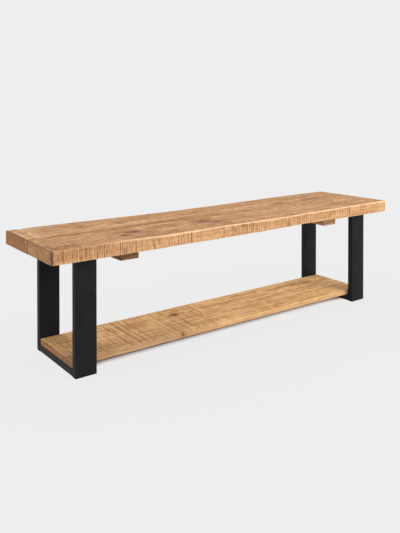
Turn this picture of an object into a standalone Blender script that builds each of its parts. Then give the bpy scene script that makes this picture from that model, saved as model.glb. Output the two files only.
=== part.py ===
"""Entryway bench: a two-plank timber seat on two steel tube frames, with a low timber shelf.

Units are metres, +Z is up and the bench faces -Y.
The origin is on the floor under the middle of the seat.
"""
import math

import bmesh
import bpy
from mathutils import Vector

# ---------------------------------------------------------------- driving dimensions
CLEARANCE = 0.0003  # gap between pieces that touch

SEAT_LENGTH = 1.660
SEAT_DEPTH = 0.410
SEAT_HEIGHT = 0.450
SEAT_THICKNESS = 0.048
PLANK_EDGE_RADIUS = 0.004

FRAME_INSET = 0.1015  # from the seat's end to the frame's outer face
FRAME_DEPTH = 0.323
TUBE_WIDE = 0.080
TUBE_THIN = 0.025
TUBE_WALL = 0.002
TUBE_CORNER_RADIUS = 0.0025
PLATE_THICKNESS = 0.005

FOOT_FLANGE = 0.001
FOOT_FLANGE_STEP = 0.0005  # the flange stops this far inside the tube's outline
FOOT_PLUG_HEIGHT = 0.015
FOOT_PLUG_WALL = 0.0025

SHELF_THICKNESS = 0.023
SHELF_SIDE_GAP = 0.004  # between the shelf and each upright
SHELF_END_INSET = 0.0015  # from the frame's outer face to the shelf's end
SHELF_EDGE_RADIUS = 0.003

BATTEN_WIDTH = 0.075
BATTEN_LENGTH = 0.300
BATTEN_THICKNESS = 0.036
BATTEN_CENTRE = 0.5125  # from the middle of the bench
BATTEN_EDGE_RADIUS = 0.0015

DOWEL_RADIUS = 0.005
DOWEL_LENGTH = 0.060
DOWEL_END_BEVEL = 0.0015
DOWEL_PLACES = (-0.600, -0.200, 0.200, 0.600)

ROUND_SEGMENTS = 12
CORNER_SEGMENTS = 3

# ---------------------------------------------------------------- screws, as sizes of one pattern
PLATE_SCREW = dict(head=0.0050, shank=0.0024, length=0.035, countersunk=True)
BATTEN_SCREW = dict(head=0.0055, shank=0.0028, length=0.064, countersunk=True)
SHELF_SCREW = dict(head=0.0050, shank=0.0022, length=0.019, countersunk=False)
SCREW_HEAD_HEIGHT = 0.0030
SCREW_POINT_LENGTH = 0.006
SCREW_POINT_RADIUS = 0.0005
DRIVE_RADIUS = 0.0024  # outer radius of the six-lobe drive recess
DRIVE_LOBE_RATIO = 0.72
DRIVE_DEPTH = 0.0020
ACCESS_HOLE_RADIUS = 0.0065  # lets the shelf screw's head through the bar's lower wall

PLATE_SCREW_X = 0.025  # from the middle of the plate
PLATE_SCREW_Y = 0.100
BATTEN_SCREW_X = 0.018  # from the middle of the batten
BATTEN_SCREW_Y_OUTER = 0.120
BATTEN_SCREW_Y_INNER = 0.050
SHELF_SCREW_Y = 0.085

# ---------------------------------------------------------------- worked out from them
SEAT_UNDERSIDE = SEAT_HEIGHT - SEAT_THICKNESS
FRAME_OUTER_X = SEAT_LENGTH / 2 - FRAME_INSET
FRAME_CENTRE_X = FRAME_OUTER_X - TUBE_WIDE / 2
UPRIGHT_Y = (FRAME_DEPTH - TUBE_THIN) / 2
UPRIGHT_INNER_Y = FRAME_DEPTH / 2 - TUBE_THIN
PLATE_TOP = SEAT_UNDERSIDE - CLEARANCE
PLATE_UNDERSIDE = PLATE_TOP - PLATE_THICKNESS
UPRIGHT_BOTTOM = FOOT_FLANGE + CLEARANCE
UPRIGHT_TOP = PLATE_UNDERSIDE - CLEARANCE
BAR_UNDERSIDE = FOOT_FLANGE
BAR_TOP = BAR_UNDERSIDE + TUBE_THIN
BAR_LENGTH = 2 * (UPRIGHT_INNER_Y - CLEARANCE)
SHELF_UNDERSIDE = BAR_TOP + CLEARANCE
BATTEN_TOP = SEAT_UNDERSIDE - CLEARANCE
BATTEN_UNDERSIDE = BATTEN_TOP - BATTEN_THICKNESS
SEAM_HALF_GAP = CLEARANCE / 2
SHELF_SCREW_HEAD_Z = BAR_TOP - TUBE_WALL - CLEARANCE - SCREW_HEAD_HEIGHT

SIDES = {"left": -1, "right": 1}
ENDS = {"front": -1, "rear": 1}


def clear_scene():
    for item in list(bpy.data.objects):
        bpy.data.objects.remove(item, do_unlink=True)


def make_material(name, colour, roughness, metallic=0.0):
    material = bpy.data.materials.new(name)
    material.use_nodes = True
    shader = material.node_tree.nodes["Principled BSDF"]
    shader.inputs["Base Color"].default_value = (*colour, 1.0)
    shader.inputs["Roughness"].default_value = roughness
    shader.inputs["Metallic"].default_value = metallic
    return material


# ---------------------------------------------------------------- shapes
def add_object(name, mesh, material=None):
    item = bpy.data.objects.new(name, mesh)
    bpy.context.scene.collection.objects.link(item)
    if material is not None:
        mesh.materials.clear()
        mesh.materials.append(material)
    return item


def mesh_from(bm, name):
    """Close a bmesh into a mesh with its faces pointing out."""
    bmesh.ops.recalc_face_normals(bm, faces=bm.faces)
    mesh = bpy.data.meshes.new(name)
    bm.to_mesh(mesh)
    bm.free()
    return mesh


def shade_round(mesh):
    mesh.shade_smooth()
    mesh.set_sharp_from_angle(angle=math.radians(35))


def loft(bm, rings, ring_shaped=False):
    """Join rings of points in order. The ends are capped, or joined when the shape is a ring."""
    loops = [[bm.verts.new(point) for point in ring] for ring in rings]
    pairs = list(zip(loops, loops[1:]))
    if ring_shaped:
        pairs.append((loops[-1], loops[0]))
    for lower, upper in pairs:
        count = len(lower)
        for index in range(count):
            following = (index + 1) % count
            bm.faces.new((lower[index], lower[following], upper[following], upper[index]))
    if not ring_shaped:
        bm.faces.new(reversed(loops[0]))
        bm.faces.new(loops[-1])


def circle_ring(radius, z, lobe_ratio=1.0):
    """A circle of points, or a six-lobe star when every second point is pulled in."""
    points = []
    for index in range(ROUND_SEGMENTS):
        angle = 2 * math.pi * index / ROUND_SEGMENTS
        reach = radius * (lobe_ratio if index % 2 else 1.0)
        points.append((reach * math.cos(angle), reach * math.sin(angle), z))
    return points


def rounded_ring(size_x, size_y, radius, z):
    """A rectangle with round corners, centred on the Z axis."""
    points = []
    for quarter in range(4):
        start = quarter * math.pi / 2
        sign_x = 1 if quarter in (0, 3) else -1
        sign_y = 1 if quarter in (0, 1) else -1
        centre_x = sign_x * (size_x / 2 - radius)
        centre_y = sign_y * (size_y / 2 - radius)
        for step in range(CORNER_SEGMENTS + 1):
            angle = start + math.pi / 2 * step / CORNER_SEGMENTS
            points.append((centre_x + radius * math.cos(angle), centre_y + radius * math.sin(angle), z))
    return points


def board_mesh(name, size, edge_radius):
    """A solid board centred on its origin, with eased edges."""
    bm = bmesh.new()
    bmesh.ops.create_cube(bm, size=1.0)
    bmesh.ops.scale(bm, vec=size, verts=bm.verts)
    bmesh.ops.bevel(bm, geom=bm.edges, offset=edge_radius, segments=2, profile=0.5, affect="EDGES")
    return mesh_from(bm, name)


def tube_mesh(name, length):
    """The frame's rectangular tube, open at both ends, standing on its origin along +Z."""
    bore_wide = TUBE_WIDE - 2 * TUBE_WALL
    bore_thin = TUBE_THIN - 2 * TUBE_WALL
    bore_radius = TUBE_CORNER_RADIUS - TUBE_WALL
    rings = [
        rounded_ring(TUBE_WIDE, TUBE_THIN, TUBE_CORNER_RADIUS, 0.0),
        rounded_ring(TUBE_WIDE, TUBE_THIN, TUBE_CORNER_RADIUS, length),
        rounded_ring(bore_wide, bore_thin, bore_radius, length),
        rounded_ring(bore_wide, bore_thin, bore_radius, 0.0),
    ]
    bm = bmesh.new()
    loft(bm, rings, ring_shaped=True)
    mesh = mesh_from(bm, name)
    shade_round(mesh)
    return mesh


def screw_rings(sizes, swell=0.0, recess=True):
    """A wood screw pointing up +Z with its head's flat face at zero.

    swell grows it all round, which gives the hole that it sits in.
    """
    head = sizes["head"] + swell
    shank = sizes["shank"] + swell
    tip = sizes["length"] + swell
    point = SCREW_POINT_RADIUS + swell
    rings = []
    if recess:
        rings.append(circle_ring(DRIVE_RADIUS * 0.8, DRIVE_DEPTH, DRIVE_LOBE_RATIO))
        rings.append(circle_ring(DRIVE_RADIUS, 0.0, DRIVE_LOBE_RATIO))
    rings.append(circle_ring(head, 0.0 - swell))
    if not sizes["countersunk"]:
        rings.append(circle_ring(head, SCREW_HEAD_HEIGHT + swell))
    rings.append(circle_ring(shank, SCREW_HEAD_HEIGHT + swell))
    rings.append(circle_ring(shank, tip - SCREW_POINT_LENGTH))
    rings.append(circle_ring(point, tip))
    return rings


def screw_mesh(name, sizes):
    bm = bmesh.new()
    loft(bm, screw_rings(sizes))
    mesh = mesh_from(bm, name)
    shade_round(mesh)
    return mesh


def drill(board, cuts):
    """Cut holes from a board. Each cut is its rings and the place that they stand at."""
    bm = bmesh.new()
    for rings, place in cuts:
        loft(bm, [[Vector(point) + place for point in ring] for ring in rings])
    cutter = add_object(board.name + "_cutter", mesh_from(bm, board.name + "_cutter"))
    cutter.hide_render = True
    cutter.display_type = "WIRE"
    holes = board.modifiers.new("holes", "BOOLEAN")
    holes.operation = "DIFFERENCE"
    holes.solver = "EXACT"
    holes.object = cutter


def lying_along_y(rings):
    """Turn rings that stand along +Z so that they lie along +Y."""
    return [[(x, z, -y) for x, y, z in ring] for ring in rings]


# ---------------------------------------------------------------- where the fasteners go
def plate_screw_places(side):
    centre = side * FRAME_CENTRE_X
    return [
        Vector((centre + side * across * PLATE_SCREW_X, end * PLATE_SCREW_Y, PLATE_UNDERSIDE))
        for end in (-1, 1)
        for across in (-1, 1)
    ]


def batten_screw_places(side):
    """Staggered across the batten, two screws in each plank."""
    centre = side * BATTEN_CENTRE
    pattern = (
        (1, -BATTEN_SCREW_Y_OUTER),
        (-1, -BATTEN_SCREW_Y_INNER),
        (-1, BATTEN_SCREW_Y_INNER),
        (1, BATTEN_SCREW_Y_OUTER),
    )
    return [Vector((centre + side * across * BATTEN_SCREW_X, y, BATTEN_UNDERSIDE)) for across, y in pattern]


def shelf_screw_place(side, end):
    return Vector((side * FRAME_CENTRE_X, end * SHELF_SCREW_Y, SHELF_SCREW_HEAD_Z))


# ---------------------------------------------------------------- timber pieces
def dowel_rings(swell=0.0):
    radius = DOWEL_RADIUS + swell
    half = DOWEL_LENGTH / 2 + swell
    return [
        circle_ring(radius - DOWEL_END_BEVEL, -half),
        circle_ring(radius, -half + DOWEL_END_BEVEL),
        circle_ring(radius, half - DOWEL_END_BEVEL),
        circle_ring(radius - DOWEL_END_BEVEL, half),
    ]


def seat_cuts(end):
    """The holes that one plank has for the plate screws, the batten screws and the dowels."""
    plate_hole = screw_rings(PLATE_SCREW, CLEARANCE, recess=False)
    batten_hole = screw_rings(BATTEN_SCREW, CLEARANCE, recess=False)
    cuts = []
    for side in SIDES.values():
        cuts += [(plate_hole, place) for place in plate_screw_places(side) if place.y * end > 0]
        cuts += [(batten_hole, place) for place in batten_screw_places(side) if place.y * end > 0]
    seam_z = SEAT_UNDERSIDE + SEAT_THICKNESS / 2
    for x in DOWEL_PLACES:
        cuts.append((lying_along_y(dowel_rings(CLEARANCE)), Vector((x, 0.0, seam_z))))
    return cuts


def build_seat_planks(timber):
    depth = SEAT_DEPTH / 2 - SEAM_HALF_GAP
    for name, end in ENDS.items():
        mesh = board_mesh("top_plank_" + name, (SEAT_LENGTH, depth, SEAT_THICKNESS), PLANK_EDGE_RADIUS)
        plank = add_object("top_plank_" + name, mesh, timber)
        plank.location = (0.0, end * (SEAM_HALF_GAP + depth / 2), SEAT_UNDERSIDE + SEAT_THICKNESS / 2)
        drill(plank, seat_cuts(end))


def build_seam_dowels(timber):
    bm = bmesh.new()
    loft(bm, lying_along_y(dowel_rings()))
    mesh = mesh_from(bm, "seam_dowel")
    shade_round(mesh)
    for number, x in enumerate(DOWEL_PLACES, start=1):
        dowel = add_object(f"seam_dowel_{number}", mesh, timber)
        dowel.location = (x, 0.0, SEAT_UNDERSIDE + SEAT_THICKNESS / 2)


def build_battens(timber):
    hole = screw_rings(BATTEN_SCREW, CLEARANCE, recess=False)
    for name, side in SIDES.items():
        size = (BATTEN_WIDTH, BATTEN_LENGTH, BATTEN_THICKNESS)
        batten = add_object("batten_" + name, board_mesh("batten_" + name, size, BATTEN_EDGE_RADIUS), timber)
        batten.location = (side * BATTEN_CENTRE, 0.0, BATTEN_TOP - BATTEN_THICKNESS / 2)
        drill(batten, [(hole, place) for place in batten_screw_places(side)])


def build_shelf(timber):
    length = 2 * (FRAME_OUTER_X - SHELF_END_INSET)
    depth = 2 * (UPRIGHT_INNER_Y - SHELF_SIDE_GAP)
    shelf = add_object(
        "shelf_board", board_mesh("shelf_board", (length, depth, SHELF_THICKNESS), SHELF_EDGE_RADIUS), timber
    )
    shelf.location = (0.0, 0.0, SHELF_UNDERSIDE + SHELF_THICKNESS / 2)
    hole = screw_rings(SHELF_SCREW, CLEARANCE, recess=False)
    drill(shelf, [(hole, shelf_screw_place(side, end)) for side in SIDES.values() for end in ENDS.values()])


# ---------------------------------------------------------------- steel frames
def build_uprights(steel):
    mesh = tube_mesh("upright", UPRIGHT_TOP - UPRIGHT_BOTTOM)
    for side_name, side in SIDES.items():
        for end_name, end in ENDS.items():
            upright = add_object(f"upright_{side_name}_{end_name}", mesh, steel)
            upright.location = (side * FRAME_CENTRE_X, end * UPRIGHT_Y, UPRIGHT_BOTTOM)


def build_bottom_bars(steel):
    """Each bar has a hole in its upper wall for each shelf screw, and a wider one below it."""
    lower_wall_hole = [
        circle_ring(ACCESS_HOLE_RADIUS, BAR_UNDERSIDE - TUBE_WALL),
        circle_ring(ACCESS_HOLE_RADIUS, BAR_UNDERSIDE + 2 * TUBE_WALL),
    ]
    shank_radius = SHELF_SCREW["shank"] + CLEARANCE
    upper_wall_hole = [
        circle_ring(shank_radius, BAR_TOP - 2 * TUBE_WALL),
        circle_ring(shank_radius, BAR_TOP + TUBE_WALL),
    ]
    mesh = tube_mesh("bottom_bar", BAR_LENGTH)
    for side_name, side in SIDES.items():
        bar = add_object("bottom_bar_" + side_name, mesh, steel)
        bar.rotation_euler = (math.radians(-90), 0.0, 0.0)
        bar.location = (side * FRAME_CENTRE_X, -BAR_LENGTH / 2, BAR_UNDERSIDE + TUBE_THIN / 2)
        cuts = []
        for end in ENDS.values():
            place = Vector((side * FRAME_CENTRE_X, end * SHELF_SCREW_Y, 0.0))
            cuts.append((lower_wall_hole, place))
            cuts.append((upper_wall_hole, place))
        drill(bar, cuts)


def build_mounting_plates(steel):
    hole = screw_rings(PLATE_SCREW, CLEARANCE, recess=False)
    rings = [
        rounded_ring(TUBE_WIDE, FRAME_DEPTH, TUBE_CORNER_RADIUS, 0.0),
        rounded_ring(TUBE_WIDE, FRAME_DEPTH, TUBE_CORNER_RADIUS, PLATE_THICKNESS),
    ]
    for name, side in SIDES.items():
        bm = bmesh.new()
        loft(bm, rings)
        plate = add_object("mounting_plate_" + name, mesh_from(bm, "mounting_plate_" + name), steel)
        plate.location = (side * FRAME_CENTRE_X, 0.0, PLATE_UNDERSIDE)
        drill(plate, [(hole, place) for place in plate_screw_places(side)])


# ---------------------------------------------------------------- small pieces
def build_foot_plugs(plastic):
    """A hollow plug in each upright's open end, with a thin flange that stands on the floor."""
    flange_x = TUBE_WIDE - 2 * FOOT_FLANGE_STEP
    flange_y = TUBE_THIN - 2 * FOOT_FLANGE_STEP
    body_x = TUBE_WIDE - 2 * (TUBE_WALL + CLEARANCE)
    body_y = TUBE_THIN - 2 * (TUBE_WALL + CLEARANCE)
    hollow_x = body_x - 2 * FOOT_PLUG_WALL
    hollow_y = body_y - 2 * FOOT_PLUG_WALL
    flange_radius = TUBE_CORNER_RADIUS - FOOT_FLANGE_STEP
    body_radius = TUBE_CORNER_RADIUS - TUBE_WALL
    rings = [
        rounded_ring(flange_x, flange_y, flange_radius, 0.0),
        rounded_ring(flange_x, flange_y, flange_radius, FOOT_FLANGE),
        rounded_ring(body_x, body_y, body_radius, FOOT_FLANGE),
        rounded_ring(body_x, body_y, body_radius, FOOT_PLUG_HEIGHT),
        rounded_ring(hollow_x, hollow_y, body_radius, FOOT_PLUG_HEIGHT),
        rounded_ring(hollow_x, hollow_y, body_radius, FOOT_FLANGE + FOOT_PLUG_WALL),
    ]
    bm = bmesh.new()
    loft(bm, rings)
    mesh = mesh_from(bm, "foot_plug")
    for side_name, side in SIDES.items():
        for end_name, end in ENDS.items():
            plug = add_object(f"foot_plug_{side_name}_{end_name}", mesh, plastic)
            plug.location = (side * FRAME_CENTRE_X, end * UPRIGHT_Y, 0.0)


def build_screws(zinc, black_zinc):
    plate_mesh = screw_mesh("plate_screw", PLATE_SCREW)
    batten_mesh = screw_mesh("batten_screw", BATTEN_SCREW)
    shelf_mesh = screw_mesh("shelf_screw", SHELF_SCREW)
    for side_name, side in SIDES.items():
        for number, place in enumerate(plate_screw_places(side), start=1):
            add_object(f"plate_screw_{side_name}_{number}", plate_mesh, black_zinc).location = place
        for number, place in enumerate(batten_screw_places(side), start=1):
            add_object(f"batten_screw_{side_name}_{number}", batten_mesh, zinc).location = place
        for end_name, end in ENDS.items():
            screw = add_object(f"shelf_screw_{side_name}_{end_name}", shelf_mesh, black_zinc)
            screw.location = shelf_screw_place(side, end)


def main():
    clear_scene()
    seat_timber = make_material("seat_timber", (0.46, 0.27, 0.12), 0.62)
    shelf_timber = make_material("shelf_timber", (0.50, 0.31, 0.13), 0.60)
    batten_timber = make_material("batten_timber", (0.36, 0.20, 0.09), 0.70)
    dowel_timber = make_material("dowel_timber", (0.60, 0.42, 0.24), 0.70)
    steel = make_material("black_steel", (0.018, 0.018, 0.020), 0.55, 0.2)
    plastic = make_material("black_plastic", (0.015, 0.015, 0.015), 0.60)
    zinc = make_material("zinc_screw", (0.62, 0.60, 0.55), 0.35, 1.0)
    black_zinc = make_material("black_screw", (0.05, 0.05, 0.05), 0.40, 0.9)
    build_seat_planks(seat_timber)
    build_seam_dowels(dowel_timber)
    build_battens(batten_timber)
    build_shelf(shelf_timber)
    build_uprights(steel)
    build_bottom_bars(steel)
    build_mounting_plates(steel)
    build_foot_plugs(plastic)
    build_screws(zinc, black_zinc)


main()
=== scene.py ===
"""The looks of an entryway bench: rough-sawn timber boards on black powder-coated steel frames.

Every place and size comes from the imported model. Units are metres, +Z is up and the bench faces -Y.
"""
import itertools
import math

import bmesh
import bpy
import numpy as np
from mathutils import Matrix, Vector


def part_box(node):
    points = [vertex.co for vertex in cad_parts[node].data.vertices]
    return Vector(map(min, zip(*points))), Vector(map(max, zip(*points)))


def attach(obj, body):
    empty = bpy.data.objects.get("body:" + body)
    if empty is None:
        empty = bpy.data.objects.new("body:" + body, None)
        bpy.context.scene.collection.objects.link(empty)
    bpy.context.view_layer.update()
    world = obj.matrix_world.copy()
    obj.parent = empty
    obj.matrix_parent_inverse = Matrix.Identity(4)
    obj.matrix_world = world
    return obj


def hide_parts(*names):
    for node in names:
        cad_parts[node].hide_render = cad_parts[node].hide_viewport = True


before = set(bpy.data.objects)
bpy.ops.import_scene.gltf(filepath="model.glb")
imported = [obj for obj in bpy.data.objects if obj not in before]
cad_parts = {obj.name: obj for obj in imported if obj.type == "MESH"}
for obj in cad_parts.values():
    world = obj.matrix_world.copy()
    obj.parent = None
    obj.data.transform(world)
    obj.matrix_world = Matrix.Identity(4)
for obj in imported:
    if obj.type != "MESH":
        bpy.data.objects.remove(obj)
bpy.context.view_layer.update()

SIDES = ("left", "right")
ENDS = {"front": -1, "rear": 1}
BACKGROUND = 0.855  # linear grey of the floor and of all that is behind it


# ---------------------------------------------------------------- noise
def cell_value(cells, seed):
    """A repeatable value from 0 to 1 for each whole-number cell."""
    mask = np.uint64(0xFFFFFFFF)
    mixed = np.full(len(cells), (seed * 2654435761 + 97) & 0xFFFFFFFF, np.uint64)
    for axis in range(cells.shape[1]):
        mixed = mixed ^ (cells[:, axis].astype(np.uint64) & mask)
        mixed = (mixed * np.uint64(0x85EBCA6B)) & mask
        mixed = mixed ^ (mixed >> np.uint64(13))
        mixed = (mixed * np.uint64(0xC2B2AE35)) & mask
        mixed = mixed ^ (mixed >> np.uint64(16))
    return mixed.astype(float) / 0xFFFFFFFF


def noise(seed, *coordinates):
    """Smooth noise from 0 to 1. Each coordinate is already divided by the size of its cells."""
    places = np.stack(np.broadcast_arrays(*coordinates), axis=1)
    base = np.floor(places).astype(np.int64)
    part = places - base
    part = part * part * (3 - 2 * part)
    total = np.zeros(len(places))
    for corner in itertools.product((0, 1), repeat=places.shape[1]):
        weight = np.prod(np.where(corner, part, 1 - part), axis=1)
        total += weight * cell_value(base + np.array(corner), seed)
    return total


def smoothstep(low, high, value):
    """From 0 where the value is at low to 1 where it is at high, with a soft start and end."""
    part = np.clip((value - low) / (high - low), 0.0, 1.0)
    return part * part * (3 - 2 * part)


# ---------------------------------------------------------------- boards
EDGE_RADIUS = 0.0013


def stations(half, step):
    """Places along one side of a board: close together in the eased edge, even between."""
    near = EDGE_RADIUS * np.array([0.0, 0.35, 0.7])
    count = max(2, round(2 * (half - EDGE_RADIUS) / step) + 1)
    inner = np.linspace(-half + EDGE_RADIUS, half - EDGE_RADIUS, count)
    return np.concatenate([-half + near, inner, (half - near)[::-1]])


def box_lattice(places):
    """The points and quads of a closed box whose three sides are divided at the given places."""
    shape = tuple(len(line) for line in places)
    surface = np.ones(shape, bool)
    surface[1:-1, 1:-1, 1:-1] = False
    numbers = np.full(shape, -1)
    numbers[surface] = np.arange(surface.sum())
    points = np.stack(np.meshgrid(*places, indexing="ij"), -1)[surface]
    quads = []
    for axis in range(3):
        for side in (0, -1):
            sheet = np.take(numbers, side, axis=axis)
            corners = [sheet[:-1, :-1], sheet[1:, :-1], sheet[1:, 1:], sheet[:-1, 1:]]
            loop = np.stack(corners, -1).reshape(-1, 4)
            faces_out = (side == -1) == (axis != 1)
            quads.append(loop if faces_out else loop[:, ::-1])
    return points, np.concatenate(quads)


class Board:
    """A board along its own X axis, centred on its origin, whose surface is worked before it is built."""

    def __init__(self, size, steps):
        self.half = np.array(size) / 2
        lattice, self.quads = box_lattice([stations(h, s) for h, s in zip(self.half, steps)])
        core = np.clip(lattice, EDGE_RADIUS - self.half, self.half - EDGE_RADIUS)
        away = lattice - core
        self.normal = away / np.linalg.norm(away, axis=1, keepdims=True)
        self.rest = core + self.normal * EDGE_RADIUS
        self.points = self.rest.copy()
        self.values = {}

    def add_value(self, name, values):
        """Add to a value that the board's material reads at each point."""
        self.values[name] = self.values.get(name, 0.0) + values

    @property
    def axes(self):
        return self.rest[:, 0], self.rest[:, 1], self.rest[:, 2]

    def push(self, depth):
        """Move the surface inwards by a depth in metres."""
        self.points -= self.normal * depth[:, None]

    def facing(self, axis, sign):
        """From 0 to 1, how squarely each point looks out of a face."""
        return np.clip(self.normal[:, axis] * sign, 0.0, 1.0) ** 2

    def edge(self, first, second, width):
        """From 0 to 1, how near each point is to the arris where two faces meet. A face is (axis, sign)."""
        gap = sum(self.half[axis] - sign * self.rest[:, axis] for axis, sign in (first, second))
        return np.clip(1.0 - gap / width, 0.0, 1.0)

    def wear_edge(self, first, second, width, depth):
        """Round an arris over, by a depth that may vary from point to point."""
        amount = self.edge(first, second, width) ** 2 * depth
        for axis, sign in (first, second):
            self.points[:, axis] -= sign * amount * 0.7071

    def build(self, name, material, location, turned=False):
        mesh = bpy.data.meshes.new(name)
        count = len(self.quads)
        mesh.vertices.add(len(self.points))
        mesh.vertices.foreach_set("co", self.points.astype(np.float32).ravel())
        mesh.loops.add(count * 4)
        mesh.loops.foreach_set("vertex_index", self.quads.astype(np.int32).ravel())
        mesh.polygons.add(count)
        mesh.polygons.foreach_set("loop_start", np.arange(0, count * 4, 4, dtype=np.int32))
        for value_name, values in self.values.items():
            attribute = mesh.attributes.new(value_name, "FLOAT", "POINT")
            attribute.data.foreach_set("value", values.astype(np.float32))
        mesh.update(calc_edges=True)
        mesh.validate()
        mesh.shade_smooth()
        mesh.materials.append(material)
        piece = bpy.data.objects.new(name, mesh)
        bpy.context.scene.collection.objects.link(piece)
        piece.location = location
        if turned:
            piece.rotation_euler = (0.0, 0.0, math.radians(90))
        return piece


# The faces of a board, each as an axis and a sign.
TOP, UNDER = (2, 1), (2, -1)
FRONT, REAR = (1, -1), (1, 1)
LEFT, RIGHT = (0, -1), (0, 1)


def along_board(x, places):
    """A value that changes evenly from one place to the next along a board. Places are (x, value)."""
    return np.interp(x, *zip(*places))


SAW_WIDTHS = (0.0010, 0.0019)
SAW_LEAN = 0.04  # how far a mark may stray along the grain, as a share of its way across
SAW_WOBBLE = 0.0010
LIP_PLACE = 0.0034  # from the middle of a groove to the middle of its lip
LIP_WIDTH = 0.0018
LIP_HEIGHT = 0.5  # as a share of the groove's depth


def saw_marks(board, seed, pitch, depth, faces, along, dark_share=1.0, light_share=1.0, patch=0.03):
    """Grooves that a saw left straight across the grain, each with a raised lip on its right.

    faces gives the strength on each face, and along gives it at some places along the board.
    The shares are how dark the grooves and how pale the lips are. A patch is how far across the
    board a mark runs before it fades or comes back.
    """
    x, y, z = board.axes
    chance = np.random.default_rng(seed)
    count = int(2 * board.half[0] / pitch * 1.2)
    centres = np.cumsum(pitch * chance.uniform(0.45, 1.55, count)) - board.half[0]
    strengths = 0.25 + 1.15 * chance.uniform(0.0, 1.0, count) ** 1.6
    widths = chance.uniform(*SAW_WIDTHS, count)
    lean = SAW_LEAN * (noise(seed, x / 0.4) - 0.5)
    across = x + lean * (y + z) + SAW_WOBBLE * (noise(seed + 1, x / 0.02, y / 0.04, z / 0.02) - 0.5)
    nearest = np.searchsorted((centres[1:] + centres[:-1]) / 2, across)
    gap = across - centres[nearest]
    broken = smoothstep(0.30, 0.62, noise(seed + 2, nearest * 1.0, y / patch, z / patch))
    strength = sum(weight * board.facing(*face) for face, weight in faces.items())
    strength = strength * strengths[nearest] * along_board(x, along) * (0.2 + 0.8 * broken)
    dark = strength * np.exp(-((gap / widths[nearest]) ** 2))
    light = strength * np.exp(-(((gap - LIP_PLACE) / LIP_WIDTH) ** 2))
    board.push(depth * (dark - LIP_HEIGHT * light))
    board.add_value("saw_dark", dark * dark_share)
    board.add_value("saw_light", light * light_share)


KNOT_DEPTH = 0.0008


def knots(board, seed, places):
    """Knots as (x, y, z, radius, darkness). The grain bends round each and its surface sinks a little.

    The dark core itself is drawn by the material, in knot_cores.
    """
    x, y, z = board.axes
    core = np.zeros(len(x))
    halo = np.zeros(len(x))
    swirl = np.zeros(len(x))
    for number, (kx, ky, kz, radius, darkness) in enumerate(places):
        dx = x - kx
        dy = y - ky
        dz = z - kz
        ragged = 0.65 + 0.7 * noise(seed + number, x / 0.012, y / 0.008, z / 0.008)
        gap = np.sqrt((dx / 1.5) ** 2 + dy**2 + dz**2) / (radius * ragged)
        rim = 0.35 * np.exp(-(((gap - 1.0) / 0.22) ** 2))
        core = np.maximum(core, darkness * (smoothstep(1.0, 0.3, gap) + rim))
        halo = np.maximum(halo, darkness * np.exp(-((gap / 2.1) ** 2)))
        swirl += radius * np.exp(-((dx / (5 * radius)) ** 2) - (dy**2 + dz**2) / (2.2 * radius) ** 2)
    board.push(KNOT_DEPTH * core)
    board.add_value("halo", halo)
    board.add_value("swirl", swirl)


def unevenness(board, seed, depth):
    """The slow ups and downs of a hand-finished surface."""
    x, y, z = board.axes
    board.push(depth * (noise(seed, x / 0.16, y / 0.07, z / 0.03) - 0.5))
    board.push(depth * 0.35 * (noise(seed + 1, x / 0.03, y / 0.03, z / 0.015) - 0.5))


# ---------------------------------------------------------------- node helpers
def add_node(tree, kind, settings=None, **inputs):
    """Add a shader node. Inputs go by name, and a space in a name is written as an underscore."""
    node = tree.nodes.new("ShaderNode" + kind)
    for name, value in (settings or {}).items():
        setattr(node, name, value)
    for name, value in inputs.items():
        set_input(tree, node.inputs[name.replace("_", " ")], value)
    return node


def set_input(tree, socket, value):
    """Set a socket to a plain value, or link it if the value is another socket."""
    if isinstance(value, bpy.types.NodeSocket):
        tree.links.new(value, socket)
    else:
        socket.default_value = value


def calculate(tree, operation, first, second=0.0, clamp=False):
    node = tree.nodes.new("ShaderNodeMath")
    node.operation = operation
    node.use_clamp = clamp
    set_input(tree, node.inputs[0], first)
    set_input(tree, node.inputs[1], second)
    return node.outputs[0]


def stretched(tree, place, scales, offset=(0.0, 0.0, 0.0)):
    """The place multiplied by a scale along each axis and moved."""
    node = tree.nodes.new("ShaderNodeVectorMath")
    node.operation = "MULTIPLY_ADD"
    set_input(tree, node.inputs[0], place)
    node.inputs[1].default_value = scales
    node.inputs[2].default_value = offset
    return node.outputs[0]


def noise_node(tree, place, detail, roughness):
    node = add_node(tree, "TexNoise", Vector=place, Scale=1.0, Detail=detail, Roughness=roughness)
    return node.outputs["Fac"]


def object_noise(tree, density, detail, roughness):
    """Noise with its cells in the object's own frame. The density is cells in a metre on each axis."""
    place = add_node(tree, "TexCoord").outputs["Object"]
    return noise_node(tree, stretched(tree, place, density), detail, roughness)


def attribute_value(tree, name):
    return add_node(tree, "Attribute", {"attribute_name": name}).outputs["Fac"]


def ramp(tree, factor, stops):
    """A colour ramp. The stops are (position, colour)."""
    node = tree.nodes.new("ShaderNodeValToRGB")
    set_input(tree, node.inputs[0], factor)
    elements = node.color_ramp.elements
    while len(elements) < len(stops):
        elements.new(0.5)
    for element, (position, colour) in zip(elements, stops):
        element.position = position
        element.color = (*colour, 1.0)
    return node.outputs[0]


def spread(tree, value, low, high, to_low=0.0, to_high=1.0):
    """Stretch a value's range, held between the new limits."""
    node = tree.nodes.new("ShaderNodeMapRange")
    node.clamp = True
    for socket, number in zip(node.inputs, (value, low, high, to_low, to_high)):
        set_input(tree, socket, number)
    return node.outputs[0]


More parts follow.
